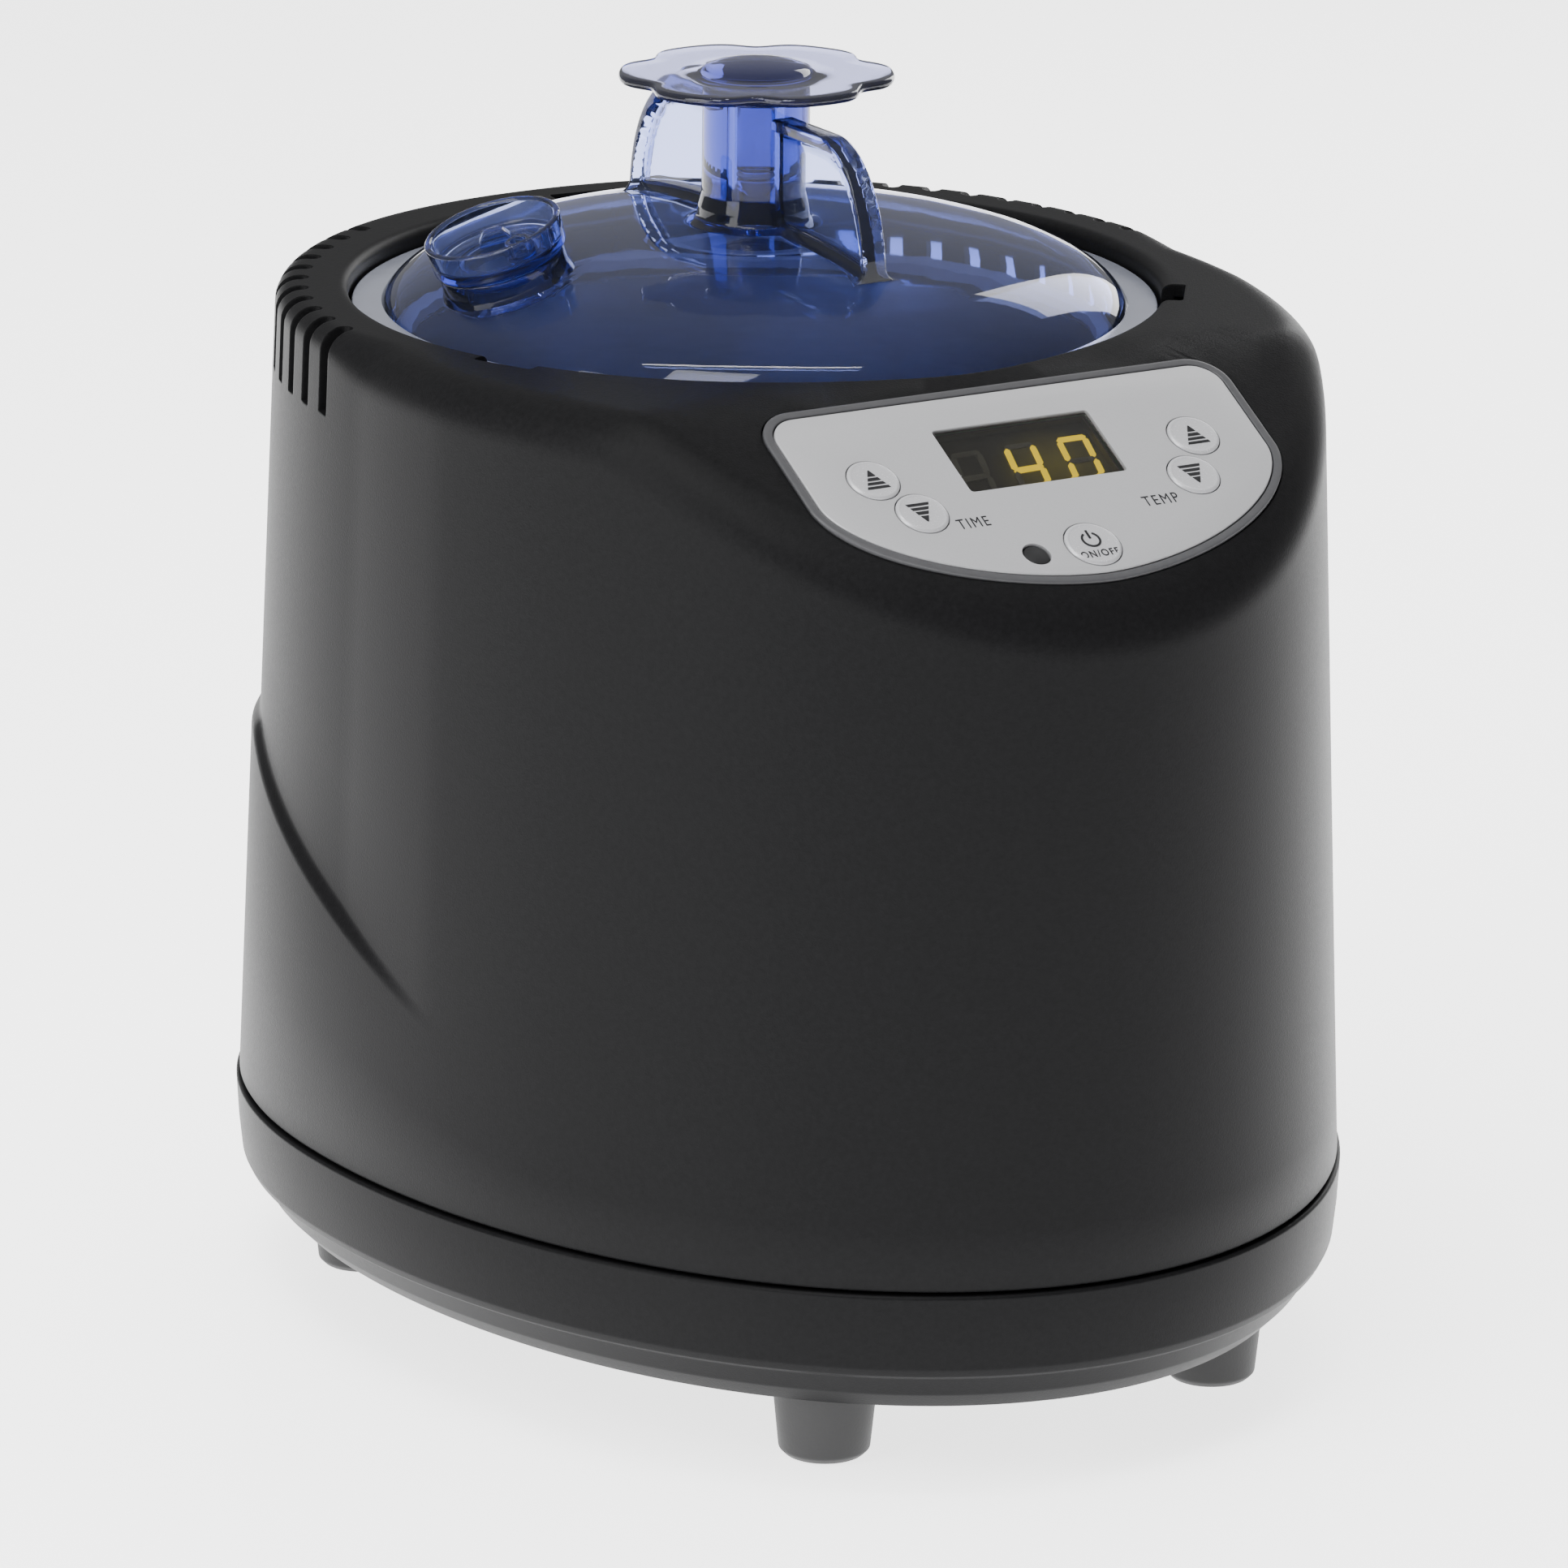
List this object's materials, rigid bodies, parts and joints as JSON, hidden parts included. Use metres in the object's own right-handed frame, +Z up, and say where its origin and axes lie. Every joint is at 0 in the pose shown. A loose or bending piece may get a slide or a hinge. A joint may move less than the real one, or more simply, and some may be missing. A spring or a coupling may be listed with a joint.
{
  "type": "steam_heater",
  "caption": "Portable steam heater: oval charcoal casing on rubber feet, lift-out pot, clear blue domed bayonet lid with star knob and filling cap, sloping panel.",
  "frame": {"origin": "on the floor under the middle of the casing's bounding box", "axes": "+X to the right seen from the front, +Y to the rear, +Z up; the control panel faces -Y"},
  "size_m": [0.2232, 0.2722, 0.2691],
  "materials": {
    "casing_plastic": "fine-grained charcoal moulding",
    "tray_plastic": "fine-grained charcoal moulding",
    "rubber": "matte black",
    "silicone": "translucent pale silicone",
    "screw_steel": "zinc-plated steel",
    "well_steel": "pressed sheet steel",
    "pot_steel": "satin deep-drawn stainless steel",
    "cast_aluminium": "die-cast, sand-grey",
    "element_sheath": "heat-darkened steel sheath",
    "lid_plastic": "clear ultramarine plastic, polished",
    "bezel_plastic": "satin dark grey",
    "panel_film": "satin silver film",
    "button_plastic": "satin silver",
    "smoked_lens": "smoked clear plastic",
    "black_plastic": "black moulding",
    "circuit_board": "green solder mask",
    "relay_plastic": "blue case",
    "fuse_ceramic": "white tube",
    "wire_sleeve": "insulated wire",
    "ribbon_sleeve": "flat grey ribbon"
  },
  "bodies": {
    "root": {"upper_casing": "casing_plastic", "base_tray": "tray_plastic", "foot_front_left": "rubber", "foot_screw_front_left": "screw_steel", "casing_screw_front_left": "screw_steel", "foot_front_right": "rubber", "foot_screw_front_right": "screw_steel", "casing_screw_front_right": "screw_steel", "foot_rear_left": "rubber", "foot_screw_rear_left": "screw_steel", "casing_screw_rear_left": "screw_steel", "foot_rear_right": "rubber", "foot_screw_rear_right": "screw_steel", "casing_screw_rear_right": "screw_steel", "pot_well": "well_steel", "well_screw_1": "screw_steel", "well_screw_2": "screw_steel", "well_screw_3": "screw_steel", "heater_plate": "cast_aluminium", "heating_element": "element_sheath", "temperature_sensor": "screw_steel", "thermal_cutout": "screw_steel", "panel_bezel": "bezel_plastic", "panel_face": "panel_film", "display_window": "smoked_lens", "display_module": "black_plastic", "ir_window": "smoked_lens", "ir_receiver": "black_plastic", "control_board": "circuit_board", "switch_time_up": "black_plastic", "switch_time_down": "black_plastic", "switch_temp_up": "black_plastic", "switch_temp_down": "black_plastic", "switch_power": "black_plastic", "mains_inlet": "black_plastic", "power_board": "circuit_board", "transformer": "screw_steel", "relay": "relay_plastic", "fuse": "fuse_ceramic", "mains_wire_live": "wire_sleeve", "heater_wire_live": "wire_sleeve", "mains_wire_neutral": "wire_sleeve", "heater_wire_neutral": "wire_sleeve", "ribbon_cable": "ribbon_sleeve"},
    "pot": {"inner_pot": "pot_steel"},
    "lid": {"lid_dome": "lid_plastic"},
    "seal": {"lid_seal": "silicone"},
    "knob": {"star_knob": "lid_plastic", "valve_spindle": "lid_plastic", "spindle_oring": "silicone"},
    "cap": {"fill_cap": "lid_plastic"},
    "cap_ring": {"cap_oring": "silicone"},
    "button_time_up": {"button_time_up": "button_plastic"},
    "button_time_down": {"button_time_down": "button_plastic"},
    "button_temp_up": {"button_temp_up": "button_plastic"},
    "button_temp_down": {"button_temp_down": "button_plastic"},
    "button_power": {"button_power": "button_plastic"}
  },
  "joints": [
    {"name": "pot_lift", "type": "slide", "parent": "root", "child": "pot", "axis": [0, 0, 1], "range_m": [0, 0.17]},
    {"name": "lid_lift", "type": "slide", "parent": "pot", "child": "seal", "axis": [0, 0, 1], "range_m": [0, 0.12]},
    {"name": "lid_turn", "type": "hinge", "parent": "seal", "child": "lid", "pos_m": [0, 0.0235, 0.21], "axis": [0, 0, -1], "range_deg": [0, 25]},
    {"name": "knob_turn", "type": "hinge", "parent": "lid", "child": "knob", "pos_m": [0, 0.0235, 0.262], "axis": [0, 0, 1], "range_deg": [0, 90]},
    {"name": "cap_lift", "type": "slide", "parent": "lid", "child": "cap_ring", "axis": [-0.3156, 0, 0.9489], "range_m": [0, 0.03]},
    {"name": "cap_turn", "type": "hinge", "parent": "cap_ring", "child": "cap", "pos_m": [-0.0604, 0.0235, 0.228], "axis": [-0.3156, 0, 0.9489], "range_deg": [0, 60]},
    {"name": "press_time_up", "type": "slide", "parent": "root", "child": "button_time_up", "axis": [0, 0.4909, -0.8712], "range_m": [0, 0.0007], "stiffness_N_per_m": 400},
    {"name": "press_time_down", "type": "slide", "parent": "root", "child": "button_time_down", "axis": [0, 0.4909, -0.8712], "range_m": [0, 0.0007], "stiffness_N_per_m": 400},
    {"name": "press_temp_up", "type": "slide", "parent": "root", "child": "button_temp_up", "axis": [0, 0.4909, -0.8712], "range_m": [0, 0.0007], "stiffness_N_per_m": 400},
    {"name": "press_temp_down", "type": "slide", "parent": "root", "child": "button_temp_down", "axis": [0, 0.4909, -0.8712], "range_m": [0, 0.0007], "stiffness_N_per_m": 400},
    {"name": "press_power", "type": "slide", "parent": "root", "child": "button_power", "axis": [0, 0.4909, -0.8712], "range_m": [0, 0.0007], "stiffness_N_per_m": 400}
  ]
}
